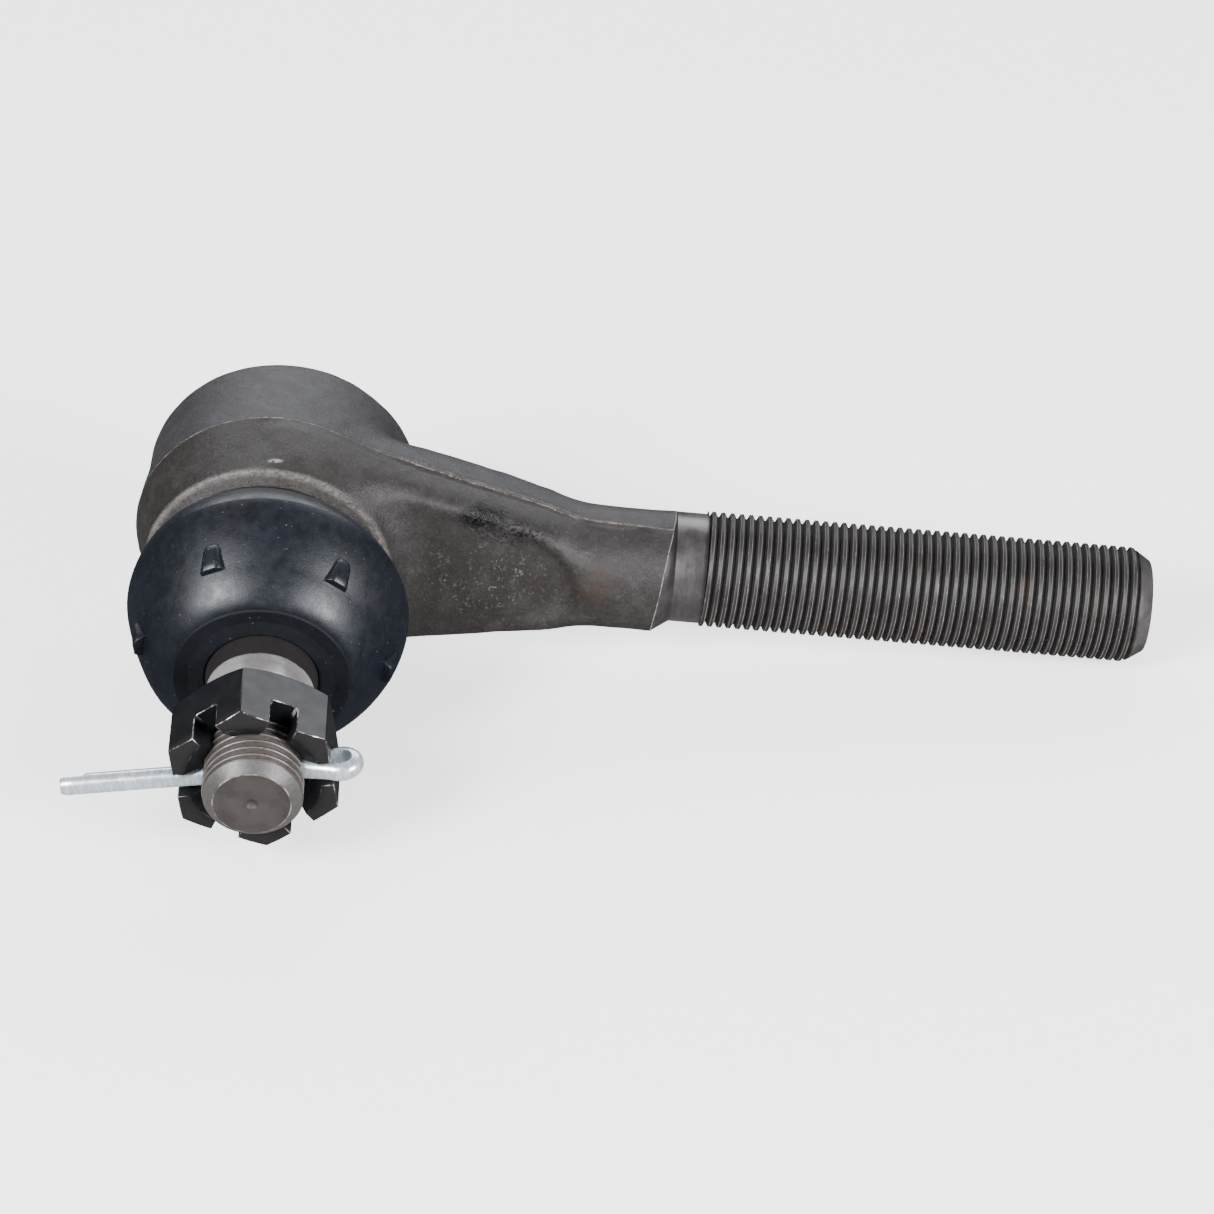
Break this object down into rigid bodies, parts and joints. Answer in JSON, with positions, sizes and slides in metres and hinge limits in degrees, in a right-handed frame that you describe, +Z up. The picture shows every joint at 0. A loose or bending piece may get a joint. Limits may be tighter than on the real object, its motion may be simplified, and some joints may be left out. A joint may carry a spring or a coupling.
{
  "type": "tie rod end",
  "caption": "Outer tie rod end: forged socket and arm with a threaded shank, ball stud, rubber dust boot, castle nut, split pin and grease fitting.",
  "frame": {"origin": "under the middle of the object's bounding box, on the surface it lies on", "axes": "+X along the arm and shank as seen from above (the shank droops about 5 degrees to the table), +Y out of the socket's rear cover, away from the stud, +Z up"},
  "size_m": [0.1586, 0.0868, 0.0411],
  "materials": {
    "forged_steel": "as forged, dark brown-grey scale",
    "machined_steel": "turned, lightly phosphated",
    "zinc_plated_steel": "bright zinc",
    "spring_steel": "oiled spring steel",
    "black_oxide_steel": "black oxide, oiled",
    "boot_rubber": "satin moulded rubber",
    "bearing_plastic": "moulded acetal",
    "cover_steel": "pressed, phosphated"
  },
  "bodies": {
    "socket": {"socket_forging": "forged_steel", "front_bearing_seat": "bearing_plastic", "preload_spring": "spring_steel", "end_cover": "cover_steel", "grease_fitting": "zinc_plated_steel", "check_spring": "spring_steel", "boot_base_ring": "spring_steel"},
    "pressure_plate": {"pressure_seat": "bearing_plastic"},
    "check_valve": {"check_ball": "machined_steel"},
    "boot": {"dust_boot": "boot_rubber"},
    "boot_lip": {"boot_lip_ring": "spring_steel"},
    "stud": {"ball_stud": "machined_steel", "castle_nut": "black_oxide_steel"},
    "pin": {"split_pin": "zinc_plated_steel"}
  },
  "joints": [
    {"name": "stud_nod", "type": "hinge", "parent": "socket", "child": "boot", "pos_m": [-0.05334, 0.01718, 0.02056], "axis": [0.9958, 0, -0.0913], "range_deg": [-19.5, 10.5], "deforming": ["dust_boot"]},
    {"name": "stud_swing", "type": "hinge", "parent": "boot", "child": "boot_lip", "pos_m": [-0.05334, 0.01718, 0.02056], "axis": [0.091, -0.0785, 0.9928], "range_deg": [-16.9, 13.1], "deforming": ["dust_boot"]},
    {"name": "stud_spin", "type": "hinge", "parent": "boot_lip", "child": "stud", "pos_m": [-0.05334, 0.01718, 0.02056], "axis": [0.0259, -0.9964, -0.0811], "continuous": true},
    {"name": "split_pin_pull", "type": "slide", "parent": "stud", "child": "pin", "axis": [0.9954, 0.0182, 0.0937], "range_m": [0, 0.042]},
    {"name": "pressure_seat_travel", "type": "slide", "parent": "socket", "child": "pressure_plate", "axis": [0, 1, 0], "range_m": [0, 0.0006], "stiffness_N_per_m": 60000, "springref_m": -0.001, "deforming": ["preload_spring"]},
    {"name": "check_ball_travel", "type": "slide", "parent": "socket", "child": "check_valve", "axis": [0, -1, 0], "range_m": [0, 0.0008], "stiffness_N_per_m": 100, "springref_m": -0.002, "deforming": ["check_spring"]}
  ]
}
